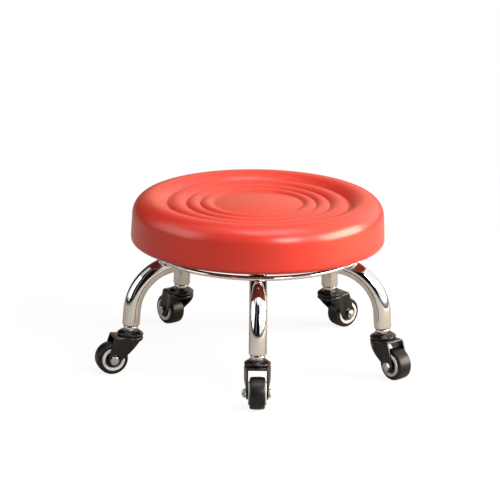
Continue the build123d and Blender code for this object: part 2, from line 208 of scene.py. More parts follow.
def smooth(piece, angle=35):
    """Smooth shading that keeps edges sharper than the angle."""
    only(piece)
    bpy.ops.object.shade_smooth_by_angle(angle=math.radians(angle))


def compare(piece, cad_node):
    """Prints how far a piece's box is from the box of the CAD node that it stands for."""
    low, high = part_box(cad_node)
    corners = [vertex.co for vertex in piece.data.vertices]
    off = [(min(corner[i] for corner in corners) - low[i]) / MM for i in range(3)]
    off += [(max(corner[i] for corner in corners) - high[i]) / MM for i in range(3)]
    off = [round(value, 2) for value in off]
    print(piece.name, len(piece.data.polygons), "faces, off the CAD box by", off)


print("helpers ready")

# %% [markdown]
# ## Turned shapes
# Tyre, rim, hub, cap and cushion are all round about an axis. A lathe would cut them from
# a profile, and Blender's Spin does the same: one vertex is extruded from point to point
# along half a section, and the chain is spun about the axis.


# %% Draw a chain and spin it
same_place = 0.002 * MM
slack = 0.01


def chain(name, points, closed=True):
    """One vertex extruded along points given in millimetres."""
    bpy.ops.mesh.primitive_plane_add(size=MM)
    piece = named(name)
    bpy.ops.object.mode_set(mode="EDIT")
    bpy.ops.mesh.select_mode(type="VERT")
    select_everything()
    bpy.ops.mesh.merge(type="CENTER")
    here = Vector(points[0])
    bpy.ops.transform.translate(value=here * MM)
    for point in points[1:]:
        step = Vector(point) - here
        bpy.ops.mesh.extrude_vertices_move(TRANSFORM_OT_translate={"value": step * MM})
        here = Vector(point)
    if closed:
        mesh = bmesh.from_edit_mesh(piece.data)
        bpy.ops.mesh.select_all(action="DESELECT")
        for vertex in mesh.verts:
            vertex.select = len(vertex.link_edges) == 1
        bmesh.update_edit_mesh(piece.data)
        bpy.ops.mesh.edge_face_add()
    return piece


def spin(steps):
    """Spins the whole chain once about the Z axis and closes the seam and the poles."""
    select_everything()
    bpy.ops.mesh.spin(steps=steps, angle=math.tau, center=(0, 0, 0), axis=(0, 0, 1))
    select_everything()
    bpy.ops.mesh.remove_doubles(threshold=same_place)
    face_outwards()


def turned(name, outline, steps, closed=True):
    """A solid of revolution about Z from (radius, height) points in millimetres."""
    piece = chain(name, [(radius, 0, height) for radius, height in outline], closed)
    spin(steps)
    leave()
    return piece


def soften(piece, width, segments=2, angle=25):
    """Rounds the edges that are sharper than an angle, as moulding or pressing leaves them."""
    apply_modifier(
        piece, "BEVEL", width=width * MM, segments=segments,
        limit_method="ANGLE", angle_limit=math.radians(angle),
    )


print("lathe ready")

# %% [markdown]
# ## Where the casters are
# Each caster stands on its own leaning stem and points its own way. The frame's joints say
# where: the swivel joint has the stem's axis and the wheel joint has the axle. From these
# two, each caster gets its own upright axes, so one modelled set of pieces fits all five.

# %% Read each caster's place from its joints
positions = ("front", "front_right", "rear_right", "rear_left", "front_left")
joints = {joint["name"]: joint for joint in frame["joints"]}
fork_top = -11.8
caster_place = {}
for position in positions:
    swivel = joints[f"caster_{position}_swivel"]
    wheel = joints[f"wheel_{position}_spin"]
    stem = Vector(swivel["axis"]).normalized()
    reach = Vector(wheel["pos_m"]) - Vector(swivel["pos_m"])
    trail = (reach - reach.dot(stem) * stem).normalized()
    across = stem.cross(trail)
    local_axes = Matrix((trail, across, stem)).transposed().to_4x4()
    foot = Vector(swivel["pos_m"]) - stem * fork_top * MM
    caster_place[position] = Matrix.Translation(foot) @ local_axes
axle = caster_place["front"].inverted() @ Vector(joints["wheel_front_spin"]["pos_m"]) / MM
print("axle, from the foot of the leg:", [round(value, 2) for value in axle])


# %% Put copies of a piece at all casters
def at_casters(piece, node, body, slot, laid=Matrix.Identity(4)):
    """One copy at each caster, riding its body and standing for its CAD node."""
    for position in positions:
        copy = copied(piece, piece.name.replace("_pattern", f"_{position}"))
        copy.matrix_world = caster_place[position] @ laid
        settle()
        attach(copy, body.format(position))
        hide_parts(node.format(position))
        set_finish(copy, slot)
    compare(copy, node.format(position))
    bpy.data.objects.remove(piece)


to_axle = Matrix.Translation(Vector((axle.x, 0, axle.z)) * MM)
along_axle = to_axle @ Matrix.Rotation(-math.pi / 2, 4, "X")
print("axle pieces are drawn upright and laid over")

# %% [markdown]
# ## The cushion
# The seat is a disc of foam under red leathercloth. A heated ring tool has pressed four
# sharp creases into the top, so that the foam swells between them in round rolls, with a
# smooth dome in the middle and a high roll at the rim. The cover is then pulled over the
# edge and stapled under the board, where it has to gather in small pleats. A cloth
# simulation could inflate it, but the press gives an exact round shape, so a spun profile
# is closer: the same arcs as in the frame, with the creases pressed a little sharper.

# %% The profile of the cushion
seat_radius = 160.0
seat_bottom = 158.5
seat_top = seat_bottom + 57.5
crease_radii = (57.0, 73.0, 90.5, 115.0)
crease_height = seat_top - 9.3
dome_rise = 4.0
roll_rise_share = 0.165
crown_radius = 135.0
roll_radius = 24.0
roll_turn = math.radians(40)
wall_lean = math.radians(3)
edge_radius = 6.0
cover_thickness = 1.2
wrap_radius = 122.0
cushion_steps = 288


def arc(centre, radius, start, end, count):
    """Points on an arc from one angle to another, in radians, with both ends."""
    angles = [start + (end - start) * index / count for index in range(count + 1)]
    return [(centre[0] + radius * math.cos(a), centre[1] + radius * math.sin(a)) for a in angles]


def straight_line(start, end, count):
    """Points on a line between two points, without the first."""
    (r0, z0), (r1, z1) = start, end
    shares = range(1, count + 1)
    return [(r0 + (r1 - r0) * k / count, z0 + (z1 - z0) * k / count) for k in shares]


def radius_over(half, rise):
    """The radius of an arc with this rise over half its chord."""
    return (half ** 2 + rise ** 2) / (2 * rise)


def arch(left, right, rise, count):
    """Points on the arc that joins two points of equal height with a rise in its middle."""
    half = (right - left) / 2
    radius = radius_over(half, rise)
    swing = math.asin(half / radius)
    centre = ((left + right) / 2, crease_height + rise - radius)
    return arc(centre, radius, math.pi / 2 + swing, math.pi / 2 - swing, count)


def seat_skin():
    """The outer skin from the middle of the dome to the edge of the wrapped cover."""
    points = arch(-crease_radii[0], crease_radii[0], dome_rise, 40)[20:]
    for left, right in zip(crease_radii, crease_radii[1:]):
        points += arch(left, right, roll_rise_share * (right - left), 12)[1:]
    run = crown_radius - crease_radii[-1]
    inner_radius = radius_over(run, seat_top - crease_height)
    swing = math.asin(run / inner_radius)
    centre = (crown_radius, seat_top - inner_radius)
    points += arc(centre, inner_radius, math.pi / 2 + swing, math.pi / 2, 16)[1:]
    centre = (crown_radius, seat_top - roll_radius)
    points += arc(centre, roll_radius, math.pi / 2, math.pi / 2 - roll_turn, 12)[1:]
    roll_end = points[-1]
    cos_lean, sin_lean = math.cos(wall_lean), math.sin(wall_lean)
    cos_turn, sin_turn = math.cos(roll_turn), math.sin(roll_turn)
    edge_centre = (seat_radius - edge_radius, seat_bottom + edge_radius)
    foot = (edge_centre[0] + edge_radius * cos_lean, edge_centre[1] + edge_radius * sin_lean)
    off_r, off_z = roll_end[0] - foot[0], roll_end[1] - foot[1]
    reach = cos_lean * (cos_lean - sin_turn) - sin_lean * (cos_turn - sin_lean)
    shoulder = -(off_r * cos_lean + off_z * sin_lean) / reach
    centre = (roll_end[0] - shoulder * sin_turn, roll_end[1] - shoulder * cos_turn)
    points += arc(centre, shoulder, math.pi / 2 - roll_turn, wall_lean, 14)[1:]
    points += straight_line(points[-1], foot, 6)
    points += arc(edge_centre, edge_radius, wall_lean, -math.pi / 2, 8)[1:]
    points += straight_line((edge_centre[0], seat_bottom), (wrap_radius, seat_bottom), 10)
    print("shoulder radius %.1f mm, %d points" % (shoulder, len(points)))
    return points


skin = seat_skin()


# %% Spin the cushion
def inner_skin(points, thickness):
    """The same skin moved inwards by the cover's thickness, with every second point left out."""
    moved = []
    for index in range(1, len(points) - 1, 2):
        (r0, z0), (r1, z1), (r2, z2) = points[index - 1: index + 2]
        across, up = r2 - r0, z2 - z0
        length = math.hypot(across, up)
        moved.append((max(r1 + up / length * thickness, 0.0), z1 - across / length * thickness))
    return moved


lining = inner_skin(skin, cover_thickness)
cut_end = (wrap_radius, seat_bottom + cover_thickness)
below_dome = (0.0, skin[0][1] - cover_thickness)
section = skin + [cut_end] + lining[::-1] + [below_dome]
cushion = turned("seat_cushion", section, cushion_steps, closed=False)
print("cushion faces", len(cushion.data.polygons))

# %% [markdown]
# The pleats under the seat: between the staples the spare cloth stands off the board in
# small uneven folds. Whole columns of vertices are picked by their angle and pulled down.

# %% Gather the cover under the board
column = math.tau / cushion_steps
columns_per_repeat = 60
pleat_columns = {0.55: (3, 17, 29, 41, 53), 0.85: (8, 23, 35, 47), 0.4: (13, 26, 38, 58)}
pleat_end = 151


def on_underside(place):
    """True on the wrapped cloth between the edge and the cut end."""
    radius = math.hypot(place.x, place.y)
    return place.z < seat_bottom + 0.3 and wrap_radius - 1 < radius < pleat_end


def column_number(place):
    """The number of a vertex's column within the pattern of pleats."""
    return round(math.atan2(place.y, place.x) / column) % columns_per_repeat


enter(cushion)
for depth, columns in pleat_columns.items():
    pick("verts", lambda place: on_underside(place) and column_number(place) in columns)
    bpy.ops.transform.translate(value=(0, 0, -depth * MM))
leave()
smooth(cushion, 60)
compare(cushion, "seat_cover")
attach(cushion, "seat")
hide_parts("seat_cover")
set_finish(cushion, "red_leathercloth")

# %% [markdown]
# ## The bent legs
# Each leg is one drawn steel tube: level under the seat, bent down in a quarter turn, and
# rolled in at the foot round its threaded plug. A curve with a bevel would give the tube,
# but by hand it is as quick to start with a ring of vertices: extrude it along the level
# run, spin it round the bend, and extrude and shrink it at the foot.

# %% Bend one leg
tube_radius = 11.0
tube_wall = 1.5
tube_height = 137.0
bend_radius = 61.5
foot_radius = 166.0
foot_height = 60.0
leg_lean = math.radians(4)
hub_radius = 22.0
lip_radius = 3.0
lip_steps = 6
bend_height = tube_height - bend_radius
straight_drop = bend_height + bend_radius * math.sin(leg_lean) - foot_height
straight = straight_drop / math.cos(leg_lean)
bend_start = foot_radius - straight * math.sin(leg_lean) - bend_radius * math.cos(leg_lean)
tube_start = hub_radius - 6.0
down_leg = Vector((math.sin(leg_lean), 0, -math.cos(leg_lean)))

bpy.ops.mesh.primitive_circle_add(
    vertices=72, radius=tube_radius * MM, fill_type="NOTHING",
    location=(tube_start * MM, 0, tube_height * MM), rotation=(0, math.pi / 2, 0),
)
leg_pattern = named("leg_pattern")
settle()
bpy.ops.object.mode_set(mode="EDIT")
bpy.ops.mesh.select_mode(type="VERT")
select_everything()
level_run = (bend_start - tube_start) * MM
bpy.ops.mesh.extrude_edges_move(TRANSFORM_OT_translate={"value": (level_run, 0, 0)})
bpy.ops.mesh.spin(
    steps=56, angle=math.pi / 2 - leg_lean, axis=(0, -1, 0),
    center=(bend_start * MM, 0, bend_height * MM),
)
down_run = down_leg * (straight - lip_radius)
bpy.ops.mesh.extrude_edges_move(TRANSFORM_OT_translate={"value": down_run * MM})
for index in range(lip_steps):
    before, after = (math.pi / 2 * k / lip_steps for k in (index, index + 1))
    drop = lip_radius * (math.sin(after) - math.sin(before))
    size_before = tube_radius - lip_radius * (1 - math.cos(before))
    size_after = tube_radius - lip_radius * (1 - math.cos(after))
    bpy.ops.mesh.extrude_edges_move(TRANSFORM_OT_translate={"value": down_leg * drop * MM})
    factor = size_after / size_before
    bpy.ops.transform.resize(value=(factor, factor, factor))
leave()
print("leg runs level to", round(bend_start, 2), "and straight for", round(straight, 2))

# %% [markdown]
# The tube gets its wall, and its inner end is cut to the round of the hub, as a pipe
# fitter copes a tube before welding. A Boolean with a cylinder is the notching cutter.

# %% Give the leg its wall and cope it
enter(leg_pattern)
select_everything()
bpy.ops.mesh.remove_doubles(threshold=same_place)
face_outwards()
mesh = bmesh.from_edit_mesh(leg_pattern.data)
topmost = max(mesh.faces, key=lambda face: face.calc_center_median().z)
if topmost.normal.z < 0:
    bpy.ops.mesh.flip_normals()
leave()
apply_modifier(
    leg_pattern, "SOLIDIFY", thickness=tube_wall * MM, offset=-1, use_even_offset=True,
)
add_cylinder(sides=128, radius=hub_radius, depth=60, place=(0, 0, tube_height))
cut(leg_pattern, named("cope_cutter"))
smooth(leg_pattern, 40)

leg_angles = {}
for position in positions:
    foot = caster_place[position].translation
    leg_angles[position] = math.atan2(foot.y, foot.x)
    leg = copied(leg_pattern, f"bent_leg_{position}")
    leg.rotation_euler.z = leg_angles[position]
    settle()
    compare(leg, f"leg_{position}")
    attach(leg, "base")
    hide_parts(f"leg_{position}")
    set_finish(leg, "chromed_tube")
bpy.data.objects.remove(leg_pattern)

# %% [markdown]
# ## The rod ring
# A rod rolled to a circle lies on the shoulders of the legs, right under the cushion. It is
# a plain torus. It is tack-welded to each tube, which leaves a small bead across the joint.

# %% Lay the ring on the shoulders
ring_radius = 129.5
rod_radius = 3.0
weld_gap = 0.05
contact = bend_radius + tube_radius + rod_radius + weld_gap
ring_height = bend_height + math.sqrt(contact ** 2 - (ring_radius - bend_start) ** 2)
bpy.ops.mesh.primitive_torus_add(
    major_segments=288, major_radius=ring_radius * MM,
    minor_segments=28, minor_radius=rod_radius * MM, location=(0, 0, ring_height * MM),
)
rod_ring = named("rod_ring")
settle()
smooth(rod_ring)
compare(rod_ring, "support_ring")
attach(rod_ring, "base")
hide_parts("support_ring")
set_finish(rod_ring, "chromed_tube")

# %% [markdown]
# A weld bead is a row of small overlapping puddles. Each starts as a ball; the row follows
# the joint, is melted together by a remesh and chromed over with the rest.


# %% Weld beads
def puddle(place, size):
    """One ball of weld at a place in millimetres."""
    bpy.ops.mesh.primitive_uv_sphere_add(
        segments=12, ring_count=8, radius=size * MM, location=Vector(place) * MM,
    )


def bead(name, places, size):
    """A row of puddles made one piece that rides with the frame."""
    puddle(places[0], size)
    piece = named(name)
    settle()
    bpy.ops.object.mode_set(mode="EDIT")
    for place in places[1:]:
        puddle(place, size)
    leave()
    apply_modifier(piece, "REMESH", mode="VOXEL", voxel_size=size / 5 * MM)
    apply_modifier(piece, "SMOOTH", factor=0.5, iterations=4)
    smooth(piece, 80)
    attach(piece, "base")
    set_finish(piece, "chromed_tube")


tack_puddles, tack_pitch, tack_size = 7, 1.2, 1.35
tack_inset, tack_lift = 0.2, 0.35
saddle_puddles, saddle_size = 46, 1.5
bead_lift = 0.3
plate_gap = 1.2
contact_angle = math.acos((ring_radius - bend_start) / contact)
outer_bend = bend_radius + tube_radius
seam_r = bend_start + outer_bend * math.cos(contact_angle)
seam_z = bend_height + outer_bend * math.sin(contact_angle)
for position in positions:
    around_seat = Matrix.Rotation(leg_angles[position], 4, "Z")
    tack = []
    for index in range(tack_puddles):
        aside = (index - tack_puddles // 2) * tack_pitch
        sink = tube_radius - math.sqrt(tube_radius ** 2 - aside ** 2)
        place = Vector((seam_r - tack_inset, aside, seam_z - sink + tack_lift))
        tack.append(around_seat @ place)
    bead(f"ring_weld_{position}", tack, tack_size)
    saddle = []
    for index in range(saddle_puddles):
        angle = math.tau * index / saddle_puddles
        aside = (tube_radius + bead_lift) * math.sin(angle)
        reach = math.sqrt((hub_radius + bead_lift) ** 2 - aside ** 2)
        height = tube_height + (tube_radius + bead_lift) * math.cos(angle)
        if height < tube_height + tube_radius - plate_gap:
            saddle.append(around_seat @ Vector((reach, aside, height)))
    bead(f"hub_weld_{position}", saddle, saddle_size)
print(2 * len(positions), "weld beads")

# %% [markdown]
# ## The bright collar
# Between the foot of the tube and the black cap sits a round flange with a hexagonal neck,
# where a spanner turns the threaded stem home. A round and a six-sided cylinder, bevelled
# as a lathe and a press leave them, make up one part.

# %% Turn the collars
collar_radius = 9.3
collar_height = 3.2
neck_flats = 13.0
neck_height = 2.6
foot_round, top_round = 0.8, 0.35
hexagon_turn = (0, 0, math.pi / 6)


def corner_radius(flats):
    """From the middle to a corner of a hexagon with this width over its flats."""
    return flats / 2 / math.cos(math.pi / 6)


add_cylinder(sides=72, radius=collar_radius, depth=collar_height, place=(0, 0, -collar_height / 2))
collar = named("bright_collar_pattern")
settle()
enter(collar)
pick("edges", lambda place: place.z < -collar_height + slack)
bpy.ops.mesh.bevel(offset=foot_round * MM, segments=3)
pick("edges", lambda place: place.z > -slack)
bpy.ops.mesh.bevel(offset=top_round * MM, segments=2)
bpy.ops.mesh.select_all(action="DESELECT")
neck_middle = (0, 0, -collar_height - neck_height / 2)
add_cylinder(6, corner_radius(neck_flats), neck_height, neck_middle, hexagon_turn)
leave()
soften(collar, width=0.25, segments=2, angle=50)
smooth(collar, 30)
for position in positions:
    copy = copied(collar, f"bright_collar_{position}")
    copy.matrix_world = caster_place[position]
    settle()
    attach(copy, "base")
    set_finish(copy, "chromed_tube")
bpy.data.objects.remove(collar)
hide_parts("stem_collars")

# %% [markdown]
# ## The cap over the ball race
# Each caster turns on a ring of balls under a pressed cap. The cap has a round ridge where
# the collar sits, slopes down to a shoulder and ends in a short upright rim. All its edges
# are rolled, which is what gives the black paint its thin white glints.

# %% Press the caps
cap_top = -collar_height - neck_height
cap_bore = 4.0
cap_radius, cap_inside = 16.4, 14.7
cap_foot, cap_sheet = cap_top - 5.2, cap_top - 1.8
cap_outline = [
    (cap_bore, cap_top), (8.2, cap_top), (10.8, cap_top + 0.8), (15.4, cap_top - 2.3),
    (cap_radius, cap_top - 3.1), (cap_radius, cap_foot), (cap_inside, cap_foot),
    (cap_inside, cap_sheet), (cap_bore, cap_sheet),
]
cap = turned("ball_cap_pattern", cap_outline, steps=96)
soften(cap, width=0.55, segments=3, angle=20)
smooth(cap, 50)
at_casters(cap, "race_cap_{}", "base", "black_painted_steel")
print("caps pressed")

# %% [markdown]
# ## The fork
# The fork is one 2 mm sheet, pressed round at the stem and folded down on both sides.
# It is cut open in front above the wheel and ends in two round ears that hold the bolt. The
# way to it is the way of the press tool: a solid block with rounded shoulders, less the
# same block a sheet smaller, cut to the side view, and then the cut edges broken.


# %% Blocks of the fork
fork_sheet = 2.1
fork_nose = 16.4
fork_half_width = 13.45
fork_straight = 15.0
ease_steps = 10
boss_radius = 7.8


def fork_plan(inset, tail):
    """The fork's outline from above, round at the stem and straight along the trail."""
    nose, side = fork_nose - inset, fork_half_width - inset
    half = arc((0, 0), nose, math.pi, math.pi / 2, 24)
    for index in range(1, ease_steps + 1):
        share = index / ease_steps
        ease = share * share * (3 - 2 * share)
        half.append((fork_straight * share, nose + (side - nose) * ease))
    half.append((tail, side))
    return half + [(x, -y) for x, y in reversed(half[1:])]


def fill_and_push(way):
    """Fills the closed chain in edit mode and pushes the face along into a solid."""
    select_everything()
    bpy.ops.mesh.edge_face_add()
    bpy.ops.mesh.extrude_region_move(TRANSFORM_OT_translate={"value": way})
    face_outwards()
    leave()


def block(name, outline, bottom, top):
    """A solid between two heights over an outline of (x, y) points."""
    piece = chain(name, [(x, y, bottom) for x, y in outline])
    fill_and_push((0, 0, (top - bottom) * MM))
    return piece


def touch(point, side):
    """Where the tangent from a point touches the ear's round; side is +1 or -1."""
    away_x, away_z = point[0] - axle.x, point[1] - axle.z
    distance = math.hypot(away_x, away_z)
    along = boss_radius ** 2 / distance
    aside = side * boss_radius * math.sqrt(distance ** 2 - boss_radius ** 2) / distance
    unit_x, unit_z = away_x / distance, away_z / distance
    return axle.x + along * unit_x - aside * unit_z, axle.z + along * unit_z + aside * unit_x


def round_shoulders(piece, height, radius, segments):
    """Rounds the upper edges of a block, all but the straight one at its tail."""
    enter(piece)
    pick("edges", lambda place: place.z > height - slack and place.x < fork_tail - 1)
    bpy.ops.mesh.bevel(offset=radius * MM, segments=segments)
    leave()


fork_tail = axle.x + 2 * boss_radius
fork_floor = axle.z - 2 * boss_radius
overcut = 5
under_sheet = fork_top - fork_sheet
fork = block("pressed_fork_pattern", fork_plan(0, fork_tail), fork_floor, fork_top)
round_shoulders(fork, fork_top, radius=2.4, segments=6)
hollow_plan = fork_plan(fork_sheet, fork_tail + overcut)
hollow = block("fork_hollow", hollow_plan, fork_floor - overcut, under_sheet)
round_shoulders(hollow, under_sheet, radius=0.5, segments=3)
print("fork block", len(fork.data.polygons), "hollow", len(hollow.data.polygons))

# %% Side view and holes of the fork
throat = (-8.5, fork_top - 5.7)
front = -fork_nose - fork_sheet
front_edge = fork_top - 3.7
above = fork_top + 1
knife_half = 20
axle_hole, pin_hole = 3.1, 4.05
throat_touch, back_touch = touch(throat, 1), touch((axle.x, fork_top), -1)
start = math.atan2(throat_touch[1] - axle.z, throat_touch[0] - axle.x)
end = math.atan2(back_touch[1] - axle.z, back_touch[0] - axle.x)
if start > end:
    start -= math.tau
side_view = [(axle.x, above), (front, above), (front, front_edge)]
side_view += [(-fork_nose, front_edge), throat]
side_view += arc((axle.x, axle.z), boss_radius, start, end, 28)
profile = chain("fork_profile", [(x, -knife_half, z) for x, z in side_view])
fill_and_push((0, 2 * knife_half * MM, 0))
cut(fork, hollow)
cut(fork, profile, "INTERSECT")
crosswise = (math.pi / 2, 0, 0)
add_cylinder(sides=48, radius=axle_hole, depth=60, place=(axle.x, 0, axle.z), turn=crosswise)
cut(fork, named("axle_drill"))
add_cylinder(sides=48, radius=pin_hole, depth=20, place=(0, 0, fork_top))
cut(fork, named("pin_drill"))
apply_modifier(fork, "WELD", merge_threshold=slack * MM)
soften(fork, width=0.3, segments=2, angle=40)
smooth(fork, 40)
at_casters(fork, "fork_{}", "fork_{}", "black_painted_steel")
print("forks cut")

# %% [markdown]
# ## The wheel
# The wheel has three parts: a black polyurethane tyre with a slightly crowned tread, a
# light ring that stands a little proud of it on both sides, and a dark hub with a stepped
# recess. Each is turned from its own half section.

# %% Turn the tyre, the light ring and the hub
wheel_radius = 20.0
half_tread = 9.5
crown_rise = 0.4
tread_edge = wheel_radius - crown_rise
shoulder = 2.6
flat_half = half_tread - shoulder
groove_depth = 0.25
rim_outer, rim_inner = 14.5, 10.75
rim_half = half_tread + 1.6
half_section = [
    (rim_outer, half_tread), (16.0, half_tread), (16.25, half_tread - groove_depth),
    (16.6, half_tread - groove_depth), (16.85, half_tread),
]
half_section += arc((tread_edge - shoulder, flat_half), shoulder, math.pi / 2, 0, 8)
half_section += [(wheel_radius - crown_rise * (z / flat_half) ** 2, z) for z in (5.2, 3.5, 1.8)]
other_half = [(r, -z) for r, z in reversed(half_section)]
tyre_outline = half_section + [(wheel_radius, 0.0)] + other_half
tyre = turned("wheel_tyre_pattern", tyre_outline, steps=120)
smooth(tyre, 30)
at_casters(tyre, "tyre_{}", "wheel_{}", "black_tyre", along_axle)

rim_outline = [
    (rim_inner, -rim_half), (rim_outer, -rim_half), (rim_outer, rim_half), (rim_inner, rim_half),
]
rim = turned("light_ring_pattern", rim_outline, steps=120)
soften(rim, width=0.8, segments=4, angle=40)
smooth(rim, 50)
at_casters(rim, "wheel_rim_{}", "wheel_{}", "light_grey_plastic", along_axle)

bore, boss, recess = 3.05, 5.2, 8.4
recess_floor, web = rim_half - 4.6, rim_half - 2.4
hub_half = [
    (bore, rim_half), (boss, rim_half), (boss, recess_floor), (recess, recess_floor),
    (recess, web), (rim_inner, web),
]
hub_outline = hub_half + [(r, -z) for r, z in reversed(hub_half)]
hub = turned("stepped_hub_pattern", hub_outline, steps=96)
soften(hub, width=0.35, segments=3, angle=40)
smooth(hub, 50)
at_casters(hub, "wheel_hub_{}", "wheel_{}", "black_plastic", along_axle)
print("wheels turned")

# %% [markdown]
# ## Bolt and lock nut
# A hexagon bolt holds each wheel in its fork. The corners of a forged head are turned off
# in a cone, so its top is a disc and its flats end in curved lines. Cutting a six-sided
# prism with a spun cone gives exactly those curves. The lock nut on the other end has the
# same flats and a round collar that grips the thread.


# %% Hexagons with turned corners
def hex_block(name, flats, bottom, top, cone_at_top=False, cone_at_bottom=False):
    """A six-sided prism whose corners are turned off at one or both ends."""
    corner = corner_radius(flats)
    add_cylinder(6, corner, top - bottom, (0, 0, (bottom + top) / 2), hexagon_turn)
    prism = named(name)
    settle()
    face = flats / 2 - 0.2
    wide = corner + 1
    drop = (wide - face) * math.tan(math.radians(30))
    outline = [(0, bottom - 1)]
    if cone_at_bottom:
        outline = [(0, bottom), (face, bottom), (wide, bottom + drop)]
    else:
        outline += [(wide, bottom - 1)]
    if cone_at_top:
        outline += [(wide, top - drop), (face, top), (0, top)]
    else:
        outline += [(wide, top + 1), (0, top + 1)]
    lathe = turned("corner_lathe", outline, steps=96, closed=False)
    cut(prism, lathe, "INTERSECT")
    return prism


head_flats = 10.0
head_height = 3.1
nut_height = 4.6
nut_flats_height = 3.6
shank_radius = 3.0
ear_side, nut_side = fork_half_width, -fork_half_width
nut_end = nut_side - nut_height
bolt_end = nut_end - 1.0
in_head = ear_side + 0.1
head_end = ear_side + head_height
bolt = hex_block("hex_bolt_pattern", head_flats, ear_side, head_end, cone_at_top=True)
shank = turned("shank", [
    (0, bolt_end), (shank_radius - 0.5, bolt_end), (shank_radius, bolt_end + 0.5),
    (shank_radius, in_head), (0, in_head),
], steps=48, closed=False)
join(bolt, shank)
soften(bolt, width=0.12)
smooth(bolt, 30)
at_casters(bolt, "axle_bolt_{}", "fork_{}", "zinc_plated_steel", along_axle)

nut_flats_end = nut_side - nut_flats_height
nut = hex_block("hex_nut_pattern", head_flats, nut_flats_end, nut_side, cone_at_bottom=True)
grip = 4.5
in_nut = nut_side - 3.0
neck = turned("neck", [
    (shank_radius, nut_end), (grip - 0.4, nut_end), (grip, nut_end + 0.4),
    (grip, in_nut), (shank_radius, in_nut),
], steps=64)
add_cylinder(sides=48, radius=shank_radius, depth=20, place=(0, 0, nut_side))
cut(nut, named("nut_drill"))
join(nut, neck)
soften(nut, width=0.12)
smooth(nut, 30)
at_casters(nut, "lock_nut_{}", "fork_{}", "zinc_plated_steel", along_axle)
print("bolts and nuts cut")

# %% [markdown]
# ## Colours and nodes
# Every finish starts from the common name of what it is and how it was made. Colours are
# written as they look on a screen, in sRGB hex, and one function turns them to the linear
# values that a shader works with. The others add a node with its settings and links, a
# noise of some size, and the bump of a height.


# %% Turn colours to linear and add nodes
def linear(colour):
    """An sRGB hex colour as linear red, green, blue and alpha."""
    parts = [int(colour[index:index + 2], 16) / 255 for index in (1, 3, 5)]
    dark = [part / 12.92 for part in parts]
    light = [((part + 0.055) / 1.055) ** 2.4 for part in parts]
    return (*[d if part <= 0.04045 else b for part, d, b in zip(parts, dark, light)], 1.0)


def add_node(tree, kind, values=None, links=None, **settings):
    """Adds a node with its settings, the values of its sockets and what feeds them."""
    node = tree.nodes.new(kind)
    for name, value in settings.items():
        setattr(node, name, value)
    for socket, value in (values or {}).items():
        node.inputs[socket].default_value = value
    for socket, source in (links or {}).items():
        tree.links.new(source, node.inputs[socket])
    return node


def start_finish(name, colour, **values):
    """A material whose Principled shader has its plain sockets set, with Object coordinates."""
    material = bpy.data.materials.new(name)
    material.use_nodes = True
    tree = material.node_tree
    shader = tree.nodes["Principled BSDF"]
    shader.inputs["Base Color"].default_value = linear(colour)
    for socket, value in values.items():
        shader.inputs[socket.replace("_", " ")].default_value = value
    place = add_node(tree, "ShaderNodeTexCoord").outputs["Object"]
    return material, tree, shader, place


def noise(tree, place, size, detail):
    """The value of a noise texture whose lumps have a size in metres."""
    values = {"Scale": 1 / size, "Detail": detail}
    return add_node(tree, "ShaderNodeTexNoise", values, {"Vector": place}).outputs["Fac"]


def emboss(tree, shader, height, strength, depth, invert=False):
    """Gives a shader the bump of a height, with its full depth in metres."""
    bump = add_node(
        tree, "ShaderNodeBump", {"Strength": strength, "Distance": depth}, {"Height": height},
        invert=invert,
    )
    tree.links.new(bump.outputs["Normal"], shader.inputs["Normal"])


print("middle grey as linear:", round(linear("#808080")[0], 3))

# %% [markdown]
# ## Red leathercloth
# The cover is PVC leathercloth: a knitted back with a soft vinyl face, rolled with a fine
# pebble grain and a satin lacquer. Up close it shows shallow cells under a millimetre
# across; from where the camera stands it shows as one broad soft highlight.

# %% Mix the leathercloth
grain_cell = 0.9 * MM
leathercloth, tree, shader, place = start_finish(
    "PVC leathercloth, red, fine grain", "#E63B2B",
    Roughness=0.38, Specular_IOR_Level=0.25, Coat_Weight=0.8, Coat_Roughness=0.24,
)
cells = add_node(
    tree, "ShaderNodeTexVoronoi",
    {"Scale": 1 / grain_cell, "Smoothness": 0.35, "Randomness": 0.9},
    {"Vector": place}, feature="SMOOTH_F1",
)
emboss(tree, shader, cells.outputs["Distance"], 0.12, 0.05 * MM, invert=True)
print(leathercloth.name)

# %% [markdown]
# ## Chromed tube
# Bright chrome over nickel on drawn tube: it has almost no colour of its own and mirrors
# the room. The tube under it is never quite true, so the reflections waver a little.

# %% Plate the chrome
chrome, tree, shader, place = start_finish(
    "Chrome plate on drawn steel tube, bright", "#E6E6E7", Metallic=1.0, Roughness=0.045,
)
drawing = noise(tree, place, 22 * MM, 1.0)
emboss(tree, shader, drawing, 0.25, 0.25 * MM)
print(chrome.name)

# %% [markdown]
# ## Black paint on pressed steel
# Caps and forks are dipped and stoved black. The film is glossy with a faint orange peel,
# so that lamps show in it as small hard glints on every rolled edge.

# %% Stove the paint
black_paint, tree, shader, place = start_finish(
    "Black stoved paint on pressed steel, gloss", "#0C0A0A",
    Roughness=0.3, Specular_IOR_Level=0.25, Coat_Weight=0.45, Coat_Roughness=0.07,
)
orange_peel = noise(tree, place, 1.6 * MM, 1.0)
emboss(tree, shader, orange_peel, 0.1, 0.05 * MM)
print(black_paint.name)

# %% [markdown]
# ## Zinc plate and bearing steel
# Bolts, nuts, screws, staples and the turntable's sheets are zinc plated: a bright grey
# metal with a slightly clouded skin. The balls are hardened and polished to a mirror.

